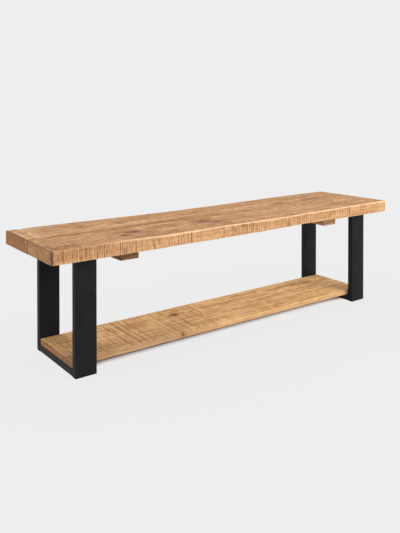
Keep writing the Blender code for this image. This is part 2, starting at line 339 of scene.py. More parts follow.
def blend(tree, factor, first, second, mode="MIX"):
    """Mix two colours, each of which is plain or a socket."""
    node = tree.nodes.new("ShaderNodeMix")
    node.data_type = "RGBA"
    node.blend_type = mode
    colours = [socket for socket in node.inputs if socket.type == "RGBA"]
    set_input(tree, node.inputs["Factor"], factor)
    for socket, colour in zip(colours, (first, second)):
        set_input(tree, socket, colour if isinstance(colour, bpy.types.NodeSocket) else (*colour, 1.0))
    return next(socket for socket in node.outputs if socket.type == "RGBA")


def new_material(name):
    """A material, its node tree and its shader."""
    material = bpy.data.materials.new(name)
    material.use_nodes = True
    return material, material.node_tree, material.node_tree.nodes["Principled BSDF"]


# ---------------------------------------------------------------- timber
RINGS_PER_METRE = 130.0
RING_WANDER = 0.055


def grain_textures(tree, offset, pith):
    """The patterns of one board's wood. Its growth rings run round a pith that lies along X.

    A pattern's first two numbers are how many of its cells fill a metre along and across the grain.
    """
    local = add_node(tree, "TexCoord").outputs["Object"]
    place = stretched(tree, local, (1.0, 1.0, 1.0), offset)

    def pattern(along, across, detail=3.0, roughness=0.55, shift=(0.0, 0.0, 0.0)):
        return noise_node(tree, stretched(tree, place, (along, across, across), shift), detail, roughness)

    parts = add_node(tree, "SeparateXYZ", Vector=local)
    across_y = calculate(tree, "SUBTRACT", parts.outputs["Y"], pith[0])
    across_z = calculate(tree, "SUBTRACT", parts.outputs["Z"], pith[1])
    squares = calculate(tree, "ADD", calculate(tree, "MULTIPLY", across_y, across_y),
                        calculate(tree, "MULTIPLY", across_z, across_z))
    wander = calculate(tree, "MULTIPLY", pattern(1.6, 9.0), RING_WANDER)
    radius = calculate(tree, "ADD", calculate(tree, "SQRT", squares), wander)
    radius = calculate(tree, "ADD", radius, attribute_value(tree, "swirl"))
    rings = add_node(tree, "TexNoise", {"noise_dimensions": "1D"}, Scale=1.0, Detail=3.0, Roughness=0.6,
                     W=calculate(tree, "MULTIPLY", radius, RINGS_PER_METRE))
    return {
        "rings": rings.outputs["Fac"],
        "patches": pattern(5.0, 24.0, shift=(5.0, 2.0, 7.0)),
        "flecks": pattern(24.0, 95.0, 4.0, 0.62, (1.0, 8.0, 3.0)),
        "streaks": pattern(3.6, 130.0, 6.0, 0.66),
        "fibres": pattern(26.0, 900.0, 3.0, 0.6),
        "smudges": pattern(36.0, 95.0, 5.0, 0.70, (9.0, 4.0, 6.0)),
        "hatch": pattern(270.0, 26.0, 2.0, 0.6),
        "gnarl": pattern(150.0, 230.0, 3.0, 0.6),
        "ragged": pattern(70.0, 120.0, 3.0, 0.6, (2.0, 6.0, 4.0)),
        "local": local,
    }


def scaled(colour, factor):
    return tuple(part * factor for part in colour)


def wood_body(tree, grain, look):
    """The wood's own colour: rings, streaks and mottling, with darker pores."""
    total = None
    for name, share in look["mix"].items():
        part = calculate(tree, "MULTIPLY", grain[name], share)
        total = part if total is None else calculate(tree, "ADD", total, part)
    tones = look["tones"]
    stops = [(0.0, scaled(tones[0], 0.72)), (0.22, tones[0]), (0.5, tones[1]), (0.80, tones[2]),
             (1.0, scaled(tones[2], 1.12))]
    colour = ramp(tree, spread(tree, total, 0.5 - look["spread"], 0.5 + look["spread"]), stops)
    reddish = spread(tree, grain["patches"], 0.44, 0.66, 0.0, 0.4)
    colour = blend(tree, reddish, colour, (1.04, 0.95, 0.88), "MULTIPLY")
    pores = spread(tree, grain["fibres"], 0.55, 0.72, 0.0, 0.62)
    colour = blend(tree, pores, colour, scaled(tones[0], 0.45))
    smudges = spread(tree, grain["smudges"], 0.50, 0.72, 0.0, look["smudges"])
    colour = blend(tree, smudges, colour, look["stain"])
    calm = spread(tree, attribute_value(tree, "side_face"), 0.0, 1.0, 0.0, 0.45)
    return blend(tree, calm, colour, scaled(tones[1], 0.93))


def lay_saw_marks(tree, colour, grain, look):
    """Dark saw marks with their pale lips, and the fine hatching of torn fibres round them."""
    hatching = attribute_value(tree, "hatching")
    fine = spread(tree, grain["hatch"], 0.30, 0.70, -0.5, 0.5)
    fine = calculate(tree, "MULTIPLY", fine, hatching)
    darker = calculate(tree, "MULTIPLY", fine, -0.85, clamp=True)
    lighter = calculate(tree, "MULTIPLY", fine, 0.60, clamp=True)
    colour = blend(tree, darker, colour, look["stain"])
    colour = blend(tree, lighter, colour, scaled(look["tones"][2], 1.15))
    worn = spread(tree, grain["hatch"], 0.25, 0.60, 0.55, 1.0)
    dark = calculate(tree, "MULTIPLY", attribute_value(tree, "saw_dark"), worn)
    colour = blend(tree, calculate(tree, "MULTIPLY", dark, 0.85, clamp=True), colour, look["stain"])
    light = calculate(tree, "MULTIPLY", attribute_value(tree, "saw_light"), 0.70, clamp=True)
    return blend(tree, light, colour, look["pale"])


END_RING_SHADES = ((0.0, (0.84, 0.80, 0.77)), (1.0, (1.08, 1.07, 1.05)))


def lay_end_grain(tree, colour, grain, look, end_shade):
    """The painted light and shade of the long sides, and the shades of the sawn ends, which show the rings.
    """
    sides = blend(tree, 1.0, colour, look["side_light_and_shade"], "MULTIPLY")
    colour = blend(tree, attribute_value(tree, "side_face"), colour, sides)
    rings = ramp(tree, spread(tree, grain["rings"], 0.30, 0.70), END_RING_SHADES)
    calm = blend(tree, 0.5, colour, look["tones"][1])
    ends = blend(tree, 1.0, blend(tree, 1.0, calm, rings, "MULTIPLY"), end_shade, "MULTIPLY")
    return blend(tree, attribute_value(tree, "end_grain"), colour, ends)


KNOT_SQUASH = (0.62, 1.0, 0.5)  # distances count for less along the grain and through the board
KNOT_TONES = ((0.36, (0.080, 0.035, 0.019)), (0.64, (0.24, 0.115, 0.062)))


def knot_cores(tree, grain, places):
    """How dark the knots make each point. Places are as in knots, and the outlines are ragged.

    A board may also ask for the same darkness where it likes, with its value named knot.
    """
    ragged = spread(tree, grain["ragged"], 0.30, 0.70, 0.60, 1.40)
    total = attribute_value(tree, "knot")
    for x, y, z, radius, darkness in places:
        scales = scaled(KNOT_SQUASH, 1.0 / radius)
        offset = [-part * scale for part, scale in zip((x, y, z), scales)]
        length = tree.nodes.new("ShaderNodeVectorMath")
        length.operation = "LENGTH"
        set_input(tree, length.inputs[0], stretched(tree, grain["local"], scales, offset))
        gap = calculate(tree, "DIVIDE", length.outputs["Value"], ragged)
        total = calculate(tree, "MAXIMUM", spread(tree, gap, 1.10, 0.55, 0.0, darkness), total)
    return total


def lay_knots_wear_and_painted_light(tree, colour, grain, look, knot_places):
    halo = calculate(tree, "MULTIPLY", attribute_value(tree, "halo"), 0.55, clamp=True)
    colour = blend(tree, halo, colour, scaled(look["tones"][0], 0.75))
    heart = ramp(tree, grain["gnarl"], KNOT_TONES)
    colour = blend(tree, spread(tree, knot_cores(tree, grain, knot_places), 0.0, 1.0), colour, heart)
    uneven = spread(tree, grain["flecks"], 0.35, 0.60, 0.55, 1.0)
    # Worn arrises drawn pale, part wear and part painted highlight, in the look's pale colour.
    pale = calculate(tree, "MULTIPLY", attribute_value(tree, "pale"), uneven)
    colour = blend(tree, calculate(tree, "MULTIPLY", pale, 0.75, clamp=True), colour, look["pale"])
    # Stains, and painted shade where a board asks for it, in the look's grime colour.
    stain_and_shade = calculate(tree, "MULTIPLY", attribute_value(tree, "stain_and_shade"), uneven, clamp=True)
    return blend(tree, stain_and_shade, colour, look["grime_and_shade"])


TIMBER_SPECULAR = 0.10
GRAIN_BUMP = {"Strength": 0.6, "Distance": 0.0006}


def timber_material(name, look, offset, pith, end_shade, knot_places):
    """One board's timber. The look gives its colours, and the rest is what sets the board apart."""
    material, tree, shader = new_material(name)
    grain = grain_textures(tree, offset, pith)
    colour = wood_body(tree, grain, look)
    colour = lay_saw_marks(tree, colour, grain, look)
    colour = lay_end_grain(tree, colour, grain, look, end_shade)
    colour = lay_knots_wear_and_painted_light(tree, colour, grain, look, knot_places)
    tree.links.new(colour, shader.inputs["Base Color"])
    rough = calculate(tree, "ADD", grain["streaks"], attribute_value(tree, "saw_dark"))
    tree.links.new(spread(tree, rough, 0.3, 1.2, 0.50, 0.85), shader.inputs["Roughness"])
    shader.inputs["Specular IOR Level"].default_value = TIMBER_SPECULAR
    height = calculate(tree, "ADD", grain["streaks"], grain["fibres"])
    height = calculate(tree, "ADD", height, grain["hatch"])
    bump = add_node(tree, "Bump", Height=height, **GRAIN_BUMP)
    tree.links.new(bump.outputs["Normal"], shader.inputs["Normal"])
    return material


def name_faces(board, hatching):
    """Tell the material which faces are sides and ends, and how finely each face is hatched."""
    board.add_value("end_grain", board.facing(*LEFT) + board.facing(*RIGHT))
    board.add_value("side_face", board.facing(*FRONT) + board.facing(*REAR))
    board.add_value("hatching", sum(weight * board.facing(*face) for face, weight in hatching.items()))


def place_board(board, name, material, node, turned=False):
    low, high = box_of(node)
    piece = board.build(name, material, (low + high) / 2, turned)
    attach(piece, "root")
    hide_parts(node)
    return piece


def box_of(node):
    low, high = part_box(node)
    return Vector(low), Vector(high)


def size_of(node):
    low, high = box_of(node)
    return high - low


# ---------------------------------------------------------------- seat
# A look's tones are the dark, middle and pale wood, and mix is the share of each grain pattern in them.
# A smaller spread brings out more of the dark and pale. The stain colours saw marks and smudges, pale
# colours lips and worn arrises and the painted highlight on them, grime colours stains and painted shade,
# the side shade multiplies the long sides as painted light and shade, and smudges is their strength.
SEAT_LOOK = {
    "tones": ((0.36, 0.156, 0.050), (0.525, 0.281, 0.120), (0.67, 0.410, 0.202)),
    "stain": (0.185, 0.060, 0.020),
    "grime_and_shade": (0.190, 0.058, 0.018),
    "pale": (0.90, 0.60, 0.36),
    # Painted light: lightens the long sides of the seat planks, above all the front faces.
    "side_light_and_shade": (1.15, 1.21, 1.28),
    "mix": {"rings": 0.24, "streaks": 0.28, "flecks": 0.28, "patches": 0.20},
    "spread": 0.108,
    "smudges": 0.80,
}
# By plank, -1 for the front and 1 for the rear: the shade of its ends, and its pith as (y, z).
SEAT_END_SHADE = {-1: (0.82, 0.84, 0.84), 1: (0.68, 0.595, 0.52)}
SEAT_PITH = {-1: (0.03, -0.16), 1: (-0.05, 0.11)}
SEAT_STEPS = (0.0016, 0.0080, 0.0050)  # the mesh is finest along X, across the saw marks

# How strong the saw marks are at places along the front face, and along the top of each plank.
FRONT_MARKS = (
    (-0.83, 1.20), (-0.70, 1.35), (-0.56, 1.25), (-0.53, 0.90), (-0.36, 0.90), (-0.33, 1.45), (-0.27, 1.35),
    (-0.25, 0.45), (-0.17, 0.45), (-0.15, 1.35), (0.02, 1.40), (0.06, 1.65), (0.09, 0.60), (0.17, 0.75),
    (0.20, 1.65), (0.25, 1.10), (0.36, 1.60), (0.42, 2.30), (0.47, 1.50), (0.60, 2.15), (0.76, 1.80),
    (0.80, 0.0),
)
TOP_MARKS = ((-0.83, 1.0), (-0.50, 0.8), (0.00, 0.6), (0.83, 0.7))
LADDER_MARKS = ((-0.83, 1.0), (-0.75, 0.9), (-0.73, 0.0))  # only at the rear plank's left end
# Knots as (x, y, z, radius, darkness) from the middle of each plank.
SEAT_KNOTS = {
    -1: (
        (-0.468, 0.010, 0.024, 0.018, 1.20), (-0.520, -0.025, 0.024, 0.012, 1.10),
        (-0.140, 0.020, 0.024, 0.021, 0.95), (-0.098, -0.012, 0.024, 0.017, 0.90),
        (-0.035, -0.101, 0.0235, 0.008, 0.9),
    ),
    1: (
        (0.400, -0.047, 0.024, 0.012, 0.60), (-0.425, -0.018, 0.024, 0.008, 0.7),
        (-0.580, 0.002, 0.024, 0.009, 0.6),
    ),
}
# How far the worn front arris dips at places along it, and the rear one all along.
FRONT_DIP = (
    (-0.83, 0.0), (-0.52, 0.0005), (-0.42, 0.0035), (-0.26, 0.0032), (-0.18, 0.0010), (0.00, 0.0015),
    (0.12, 0.0035), (0.22, 0.0030), (0.32, 0.0005), (0.83, 0.0),
)
REAR_DIP = ((-0.83, 0.001), (0.83, 0.001))
# How strong the stain in the seam and the paleness of the outer top arris are at places along them. That
# paleness is part wear and part painted highlight.
SEAM_STAIN = (
    (-0.83, 0.6), (-0.38, 0.7), (-0.33, 1.0), (-0.14, 0.9), (-0.05, 0.45), (0.27, 0.25), (0.83, 0.12),
)
ARRIS_WEAR_AND_HIGHLIGHT = ((-0.83, 0.25), (-0.62, 0.35), (-0.50, 1.0))


TOP_HOLLOW = (0.0015, 0.0050)  # at the front edge, and how much more at the rear edge
TOP_TWIST = (0.0012, -0.0060)  # the same for the right end's rise
UNDER_DROOP = (0.0010, -0.0045)  # the same for the left end's underside
UNDER_LIFT = 0.0025  # how far the underside rises right of the middle
UNDER_LIFT_PLACE = 0.33
UNDER_LIFT_REACH = 0.16


def sag_seat(board, end):
    """The top is hollowed along its length, more so towards the rear, and both ends are a little warped."""
    x, y, z = board.axes
    share_back = (y / board.half[1] + 1) / 4 + (0.5 if end > 0 else 0.0)
    height = (z / board.half[2] + 1) / 2

    def from_front(at_front, more_at_rear):
        return at_front + more_at_rear * share_back

    hollow = np.cos(np.clip(x / board.half[0], -1, 1) * math.pi / 2) ** 2
    board.points[:, 2] -= height * hollow * from_front(*TOP_HOLLOW)
    lift = np.exp(-(((x - UNDER_LIFT_PLACE) / UNDER_LIFT_REACH) ** 2))
    board.points[:, 2] += lift * (1 - height) * UNDER_LIFT
    twist = np.clip(x / board.half[0], 0, 1) ** 3
    board.points[:, 2] += height * twist * from_front(*TOP_TWIST)
    droop = smoothstep(-0.74, -0.81, x)
    board.points[:, 2] += (1 - height) * droop * from_front(*UNDER_DROOP)


def wear_seat(board, outer, inner):
    """Years of use: a dipped and rounded outer arris, blunt corners and a crisp sawn left end."""
    x, y, z = board.axes
    rough = 0.4 + 0.6 * noise(95, x / 0.05, y / 0.05, z / 0.05)
    chips = smoothstep(0.66, 0.92, noise(96, x / 0.011, y / 0.011, z / 0.011))
    dip = along_board(x, FRONT_DIP if outer == FRONT else REAR_DIP)
    near_outer = np.clip(1 - (board.half[1] - outer[1] * y) / 0.05, 0, 1) ** 2
    board.points[:, 2] -= dip * near_outer * (z / board.half[2] + 1) / 2
    board.wear_edge(TOP, outer, 0.011, 0.0016 * rough + 0.0012 * chips)
    board.wear_edge(UNDER, outer, 0.006, 0.0010 * rough + 0.0010 * chips)
    board.wear_edge(RIGHT, outer, 0.006, 0.0006)
    board.wear_edge(RIGHT, TOP, 0.005, 0.0006)
    board.wear_edge(RIGHT, UNDER, 0.018, 0.0058 * board.edge(RIGHT, outer, 0.30))
    board.wear_edge(LEFT, TOP, 0.004, 0.0006 + 0.0010 * chips)
    board.wear_edge(TOP, inner, 0.005, 0.0011 * rough)
    # The outer top arris is drawn pale: part wear, part painted highlight.
    board.add_value("pale", board.edge(TOP, outer, 0.0062) * (0.9 + rough) * along_board(x, ARRIS_WEAR_AND_HIGHLIGHT))
    board.add_value("pale", 0.5 * board.edge(UNDER, outer, 0.005) * rough)
    board.add_value("pale", 0.5 * board.edge(RIGHT, outer, 0.007))


def stain_joints(board, inner):
    """How strongly dirt and oil mark the seam and the top arris of the left end."""
    x, y, _ = board.axes
    on_top = smoothstep(0.0, 0.6, board.edge(TOP, inner, 0.0050)) * along_board(x, SEAM_STAIN)
    on_end = 0.9 * smoothstep(0.0, 0.5, board.edge(LEFT, inner, 0.0055))
    patchy = smoothstep(0.25, 0.55, noise(98, y / 0.03 + 40.0))
    arris = 0.8 * smoothstep(0.0, 0.6, board.edge(LEFT, TOP, 0.0050)) * patchy
    return np.maximum(np.maximum(on_top, on_end), arris)


def darken_front_corner(board, stain_and_shade):
    """The front plank's left end: a dark upright corner, a patch on top and a front face darkened towards the
    left as painted shade.
    """
    x, y, _ = board.axes
    on_end = smoothstep(0.0, 0.5, board.edge(LEFT, FRONT, 0.0160)) * board.facing(*LEFT)
    on_front = smoothstep(0.0, 0.5, board.edge(LEFT, FRONT, 0.0070))
    board.add_value("knot", np.maximum(on_end, on_front))
    patch = np.exp(-(((x + 0.80) / 0.10) ** 2) - ((y + 0.06) / 0.05) ** 2) * board.facing(*TOP)
    patch = patch * smoothstep(0.30, 0.65, noise(99, x / 0.014, y / 0.022))
    # Painted shade: the front face darkens towards the left end.
    face = 0.22 * smoothstep(-0.42, -0.62, x) * board.facing(*FRONT)
    return np.maximum(stain_and_shade, 0.80 * patch) + face


def lighten_seam_end(board):
    """A pale band beside the seam on the rear plank's left end."""
    y = board.axes[1]
    band = np.exp(-(((y + board.half[1] - 0.009) / 0.0035) ** 2))
    board.add_value("pale", 0.4 * band * board.facing(*LEFT))


def seat_plank(name, node, end):
    """One of the seat's two planks. The end is -1 for the front one and 1 for the rear one."""
    board = Board(size_of(node), SEAT_STEPS)
    outer, inner = (FRONT, REAR) if end < 0 else (REAR, FRONT)
    unevenness(board, 11 + end, 0.0012)
    saw_marks(board, 41 + end, 0.0085, 0.0006, {outer: 1.35, UNDER: 0.8}, FRONT_MARKS,
              light_share=0.25, patch=0.014)
    saw_marks(board, 51 + end, 0.0080, 0.0004, {TOP: 0.75}, TOP_MARKS, light_share=0.5, patch=0.016)
    if end > 0:
        saw_marks(board, 61, 0.0085, 0.0007, {TOP: 1.3}, LADDER_MARKS, dark_share=0.5, light_share=1.3)
    knots(board, 70 + end, SEAT_KNOTS[end])
    wear_seat(board, outer, inner)
    stain_and_shade = stain_joints(board, inner)
    if end < 0:
        stain_and_shade = darken_front_corner(board, stain_and_shade)
    else:
        lighten_seam_end(board)
    board.add_value("stain_and_shade", stain_and_shade)
    sag_seat(board, end)
    name_faces(board, {outer: 1.0, UNDER: 0.8, TOP: 0.48})
    material = timber_material(name + "_timber", SEAT_LOOK, (3.1 + 2 * end, 1.7 * end, 0.4), SEAT_PITH[end],
                               SEAT_END_SHADE[end], SEAT_KNOTS[end])
    place_board(board, name, material, node)


# ---------------------------------------------------------------- shelf
SHELF_LOOK = {
    "tones": ((0.54, 0.265, 0.091), (0.76, 0.462, 0.196), (0.92, 0.640, 0.308)),
    "stain": (0.245, 0.090, 0.028),
    # For the shelf this is mostly the purple-grey of the painted shade on its lower front arris.
    "grime_and_shade": (0.080, 0.046, 0.046),
    "pale": (0.92, 0.64, 0.34),
    # Painted shade: darkens the shelf's long sides, above all its front edge.
    "side_light_and_shade": (0.84, 0.80, 0.84),
    "mix": {"rings": 0.26, "streaks": 0.26, "flecks": 0.26, "patches": 0.22},
    "spread": 0.100,
    "smudges": 0.55,
}
SHELF_MARKS = ((-0.73, 1.3), (-0.60, 1.7), (-0.20, 1.5), (0.00, 0.55), (0.16, 0.7), (0.42, 0.5), (0.73, 0.40))
SHELF_LINES = ((-0.73, 1.0), (-0.12, 1.0), (-0.08, 0.0))  # a few long pale ones towards the left end
SHELF_KNOTS = (
    (-0.181, 0.055, 0.0115, 0.0120, 1.30), (-0.207, 0.049, 0.0115, 0.009, 0.6),
    (-0.271, -0.131, 0.004, 0.005, 0.8), (0.224, -0.110, 0.0115, 0.008, 0.35),
)
SHELF_PITH = (0.06, -0.09)
SHELF_END_SHADE = (0.44, 0.35, 0.34)
SHELF_STEPS = (0.0016, 0.0070, 0.0045)


def colour_shelf(board):
    """Pale top arrises, part wear and part painted highlight; painted shade on the lower front arris and the
    front left; a left end darker than the right.
    """
    x, y, _ = board.axes
    # The top arrises are drawn pale, part wear and part painted highlight, more so towards the right end.
    rightward = smoothstep(-0.30, 0.35, x)
    arrises = board.edge(TOP, FRONT, 0.005) + board.edge(TOP, REAR, 0.005)
    board.add_value("pale", (0.1 + 0.3 * rightward) * arrises)
    board.add_value("pale", 0.25 * np.exp(-(((x - 0.04) / 0.06) ** 2)) * board.facing(*TOP))
    # Painted shade: a dark line along the lower front arris, where shadow falls under the shelf.
    painted_arris_shade = 1.2 * smoothstep(0.10, 0.55, board.edge(UNDER, FRONT, 0.0045))
    left_end = 0.20 * smoothstep(-0.60, -0.69, x) * board.facing(*TOP)
    # Painted shade: the front face and the front half of the top darken towards the left end.
    near_front = board.facing(*FRONT) + smoothstep(-0.01, -0.08, y)
    left_front_shade = 0.20 * smoothstep(-0.05, -0.35, x) * near_front
    board.add_value("stain_and_shade", painted_arris_shade + left_end + left_front_shade)


def shelf_plank(name, node):
    board = Board(size_of(node), SHELF_STEPS)
    x, y, _ = board.axes
    unevenness(board, 21, 0.0008)
    saw_marks(board, 52, 0.0090, 0.0006, {TOP: 1.1, UNDER: 0.8}, SHELF_MARKS, light_share=0.35, patch=0.022)
    saw_marks(board, 57, 0.0500, 0.0004, {TOP: 0.8}, SHELF_LINES, dark_share=0.2, light_share=1.3)
    saw_marks(board, 56, 0.0060, 0.0003, {TOP: 0.60, FRONT: 0.25, REAR: 0.25}, SHELF_MARKS, light_share=1.2)
    knots(board, 80, SHELF_KNOTS)
    for first, second in itertools.product((TOP, UNDER), (FRONT, REAR, LEFT, RIGHT)):
        depth = 0.0006 if first == TOP else 0.0002
        board.wear_edge(first, second, 0.005, depth * (1 + 1.3 * noise(97, x / 0.04, y / 0.04)))
    colour_shelf(board)
    name_faces(board, {TOP: 0.62, UNDER: 0.8, FRONT: 0.25, REAR: 0.25})
    material = timber_material(name + "_timber", SHELF_LOOK, (7.3, 0.9, 2.2), SHELF_PITH, SHELF_END_SHADE,
                               SHELF_KNOTS)
    place_board(board, name, material, node)


# ---------------------------------------------------------------- battens
BATTEN_TONES = {
    "left": ((0.13, 0.062, 0.028), (0.22, 0.110, 0.050), (0.32, 0.17, 0.085)),
    "right": ((0.31, 0.160, 0.072), (0.46, 0.250, 0.125), (0.58, 0.34, 0.18)),
}
BATTEN_LOOK = {
    "stain": (0.090, 0.042, 0.022),
    "grime_and_shade": (0.060, 0.030, 0.018),
    "pale": (0.60, 0.38, 0.21),
    "side_light_and_shade": (1.0, 1.0, 1.0),
    "mix": {"rings": 0.30, "streaks": 0.30, "flecks": 0.22, "patches": 0.18},
    "spread": 0.120,
    "smudges": 0.4,
}
BATTEN_KNOTS = ((0.06, 0.02, -0.018, 0.006, 0.7),)
BATTEN_PITH = (0.02, 0.07)
BATTEN_END_SHADE = (0.9, 0.9, 0.9)
BATTEN_STEPS = (0.0020, 0.0040, 0.0040)
CUTTER_SIDES = 32


def turned_cutter(name, rings):
    """A round cutter about an upright line, from rings of (centre, radius, z)."""
    bm = bmesh.new()
    loops = []
    for centre, radius, z in rings:
        loops.append([
            bm.verts.new((centre.x + radius * math.cos(angle), centre.y + radius * math.sin(angle), z))
            for angle in np.linspace(0, 2 * math.pi, CUTTER_SIDES, endpoint=False)
        ])
    close_loft(bm, loops)
    return link_mesh(bm, name)


def join_loops(bm, lowers, uppers):
    """Join each loop of points to the one beside it by a band of quads."""
    for lower, upper in zip(lowers, uppers):
        for index in range(len(lower)):
            after = (index + 1) % len(lower)
            bm.faces.new((lower[index], lower[after], upper[after], upper[index]))


def close_loft(bm, loops):
    """Join loops of points in order and close both ends."""
    join_loops(bm, loops, loops[1:])
    bm.faces.new(reversed(loops[0]))
    bm.faces.new(loops[-1])


def link_mesh(bm, name):
    """Turn a bmesh into an object of the scene with its faces pointing out."""
    bmesh.ops.recalc_face_normals(bm, faces=bm.faces)
    mesh = bpy.data.meshes.new(name)
    bm.to_mesh(mesh)
    bm.free()
    item = bpy.data.objects.new(name, mesh)
    bpy.context.scene.collection.objects.link(item)
    return item


def cut_out(piece, cutters):
    """Cut the cutters from a piece and delete them."""
    for cutter in cutters:
        hole = piece.modifiers.new("hole", "BOOLEAN")
        hole.operation = "DIFFERENCE"
        hole.object = cutter
    bpy.context.view_layer.update()
    cut = bpy.data.meshes.new_from_object(piece.evaluated_get(bpy.context.evaluated_depsgraph_get()))
    piece.modifiers.clear()
    piece.data = cut
    for cutter in cutters:
        bpy.data.objects.remove(cutter, do_unlink=True)


def countersinks(side_name, underside):
    """A cutter for the head of each of a batten's four screws, a little wider than the head."""
    cutters = []
    for number in range(1, 5):
        low, high = box_of(f"batten_screw_{side_name}_{number}")
        centre = (low + high) / 2
        head = (high.x - low.x) / 2
        rings = [(centre, head + 0.0016, underside - 0.001), (centre, head + 0.0002, underside + 0.0012),
                 (centre, head * 0.5, underside + 0.0042)]
        cutters.append(turned_cutter(f"countersink_{number}", rings))
    return cutters


def batten(side_name, seed):
    """A cross batten under the seat. It is made along X and then turned to lie along Y."""
    node = "batten_" + side_name
    size = size_of(node)
    board = Board((size.y, size.x, size.z), BATTEN_STEPS)
    x, y, z = board.axes
    unevenness(board, seed, 0.0006)
    faces = {TOP: 0.8, UNDER: 0.8, FRONT: 0.7, REAR: 0.7}
    saw_marks(board, seed + 3, 0.0085, 0.0004, faces, along=((-1, 1), (1, 1)))
    knots(board, seed + 9, BATTEN_KNOTS)
    wear = 0.0004 + 0.0008 * noise(seed + 5, x / 0.03, y / 0.03, z / 0.03)
    for first, second in itertools.combinations((UNDER, FRONT, REAR, LEFT, RIGHT), 2):
        if first[0] != second[0]:
            board.wear_edge(first, second, 0.004, wear)
    board.add_value("pale", 0.5 * board.edge(UNDER, LEFT, 0.004))
    name_faces(board, {UNDER: 0.8, FRONT: 0.8, REAR: 0.8})
    look = {**BATTEN_LOOK, "tones": BATTEN_TONES[side_name]}
    material = timber_material(f"{side_name}_batten_timber", look, (seed * 0.7, 4.4, 1.1), BATTEN_PITH,
                               BATTEN_END_SHADE, BATTEN_KNOTS)
    piece = place_board(board, f"{side_name}_cross_batten", material, node, turned=True)
    cut_out(piece, countersinks(side_name, box_of(node)[0].z))


# ---------------------------------------------------------------- steel
COAT_TONES = ((0.0, (0.0070, 0.0065, 0.0084)), (1.0, (0.0102, 0.0096, 0.0120)))
COAT_SPECULAR = 0.11
COAT_BUMP = {"Strength": 0.25, "Distance": 0.00012}


def coated_steel():
    """Matte black powder coat with its fine orange-peel surface."""
    material, tree, shader = new_material("powder_coat")
    peel = object_noise(tree, (1500.0, 1500.0, 1500.0), 2.0, 0.5)
    cloud = object_noise(tree, (18.0, 18.0, 18.0), 3.0, 0.5)
    tree.links.new(ramp(tree, spread(tree, cloud, 0.35, 0.65), COAT_TONES), shader.inputs["Base Color"])
    uneven = calculate(tree, "ADD", cloud, calculate(tree, "MULTIPLY", peel, 0.5))
    tree.links.new(spread(tree, uneven, 0.5, 1.0, 0.44, 0.58), shader.inputs["Roughness"])
    shader.inputs["Specular IOR Level"].default_value = COAT_SPECULAR
    bump = add_node(tree, "Bump", Height=peel, **COAT_BUMP)
    tree.links.new(bump.outputs["Normal"], shader.inputs["Normal"])
    return material


TUBE_WALL = 0.002
TUBE_CORNER = 0.0026
TUBE_LIP = 0.0004  # the bevel round each open end
CORNER_STEPS = 7


def rounded_outline(half_u, half_v, radius):
    """The points of a rectangle with round corners, about its own middle."""
    points = []
    for quarter in range(4):
        centre_u = (half_u - radius) * (1 if quarter in (0, 3) else -1)
        centre_v = (half_v - radius) * (1 if quarter in (0, 1) else -1)
        for step in range(CORNER_STEPS + 1):
            angle = (quarter + step / CORNER_STEPS) * math.pi / 2
            points.append((centre_u + radius * math.cos(angle), centre_v + radius * math.sin(angle)))
    return points


def tube(name, node, axis, material):
    """A rectangular tube with round corners, open at both ends, over a CAD node's box."""
    low, high = box_of(node)
    centre = (low + high) / 2
    u, v = [other for other in range(3) if other != axis]
    half_u = (high[u] - low[u]) / 2
    half_v = (high[v] - low[v]) / 2
    skins = [
        (TUBE_LIP, low[axis]), (0.0, low[axis] + TUBE_LIP), (0.0, high[axis] - TUBE_LIP),
        (TUBE_LIP, high[axis]), (TUBE_WALL, high[axis]), (TUBE_WALL, low[axis]),
    ]
    bm = bmesh.new()
    loops = []
    for inset, station in skins:
        loop = []
        for pu, pv in rounded_outline(half_u - inset, half_v - inset, TUBE_CORNER - inset):
            place = [0.0, 0.0, 0.0]
            place[axis] = station
            place[u] = centre[u] + pu
            place[v] = centre[v] + pv
            loop.append(bm.verts.new(place))
        loops.append(loop)
    join_loops(bm, loops, loops[1:] + loops[:1])
    piece = link_mesh(bm, name)
    piece.data.materials.append(material)
    return piece


SHARP_ANGLE = math.radians(28)


def finish_steel(piece, node):
    """Keep a tube's edges sharp and let it stand for its CAD node."""
    piece.data.shade_smooth()
    piece.data.set_sharp_from_angle(angle=SHARP_ANGLE)
    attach(piece, "root")
    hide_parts(node)


WELD_STEP = 0.0007
WELD_SIDES = 10
WELD_RADIUS = 0.0021
WELD_RIPPLE = 0.0003
RIPPLE_LENGTH = 0.0024
WELD_TAPER = 0.003  # how much of each end of a bead thins out
WELD_INSET = 0.004  # from the tube's side to the end of a bead


def weld_bead(name, start, end, material):
    """A bead of weld in an inside corner, with the ripples of its puddle."""
    length = (end - start).length
    count = int(length / WELD_STEP)
    bm = bmesh.new()
    loops = []
    for step in range(count + 1):
        part = step / count
        centre = start.lerp(end, part)
        ripple = 0.5 + 0.5 * math.cos(2 * math.pi * part * length / RIPPLE_LENGTH)
        taper = min(1.0, min(part, 1 - part) * length / WELD_TAPER)
        radius = (WELD_RADIUS + WELD_RIPPLE * ripple) * math.sqrt(max(taper, 0.05))
        loops.append([
            bm.verts.new(centre + Vector((0.0, radius * math.cos(angle), radius * math.sin(angle))))
            for angle in np.linspace(0, 2 * math.pi, WELD_SIDES, endpoint=False)
        ])
    close_loft(bm, loops)
    bead = link_mesh(bm, name)
    bead.data.shade_smooth()
    bead.data.materials.append(material)
    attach(bead, "root")


ACCESS_RADIUS = 0.0065  # of the hole under the bar for a shelf screw's head
CLEARANCE_RADIUS = 0.0026  # of the hole for its shank


